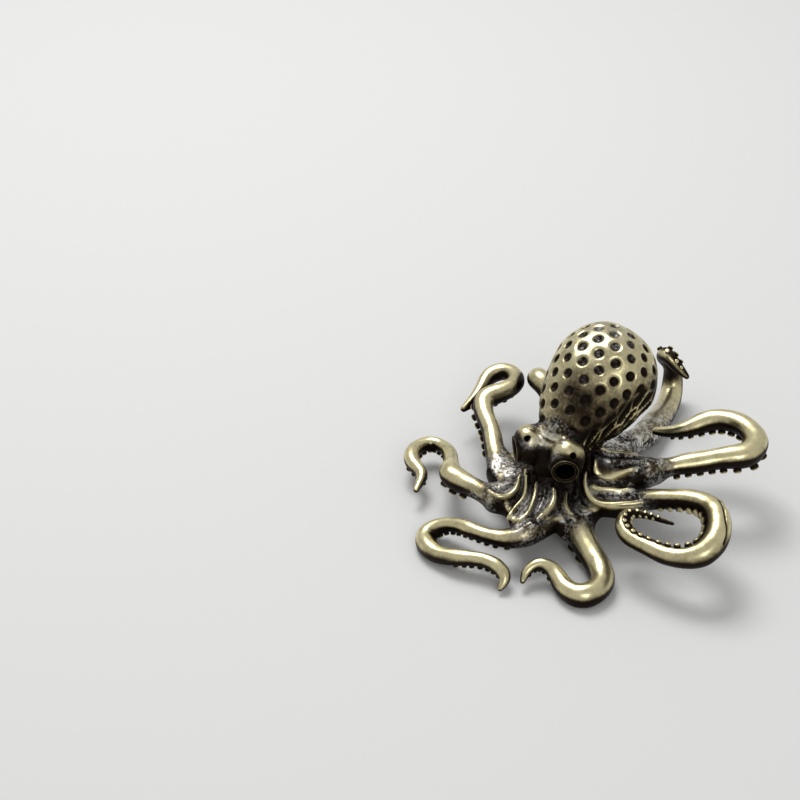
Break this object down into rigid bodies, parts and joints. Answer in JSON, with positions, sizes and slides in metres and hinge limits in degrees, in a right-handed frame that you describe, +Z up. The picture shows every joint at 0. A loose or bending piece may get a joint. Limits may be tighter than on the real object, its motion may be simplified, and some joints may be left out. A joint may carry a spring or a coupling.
{
  "type": "octopus figurine",
  "caption": "Small solid brass octopus with a pitted egg-shaped mantle, ringed eyes, a ribbed web and curled arms lined with suckers, standing on its lower arms.",
  "frame": {"origin": "on the table, under the middle of the overall box", "axes": "+Z up; the animal's face looks towards -Y; +X is the right-hand side seen from the front"},
  "size_m": [0.0562, 0.0616, 0.0281],
  "materials": {
    "polished_brass": "polished",
    "aged_brass": "antiqued"
  },
  "bodies": {
    "root": {"mantle": "polished_brass", "head": "aged_brass", "web": "aged_brass", "eye_ring_right": "polished_brass", "eye_ring_left": "polished_brass", "arm_front_right": "polished_brass", "arm_front_left": "polished_brass", "arm_left_front": "polished_brass", "arm_left_back": "polished_brass", "arm_back_left": "polished_brass", "arm_back_right": "polished_brass", "arm_right_back": "polished_brass", "arm_right_front": "polished_brass", "suckers_front_right": "aged_brass", "suckers_front_left": "aged_brass", "suckers_left_front": "aged_brass", "suckers_left_back": "aged_brass", "suckers_back_left": "aged_brass", "suckers_back_right": "aged_brass", "suckers_right_back": "aged_brass", "suckers_right_front": "aged_brass"}
  },
  "joints": []
}
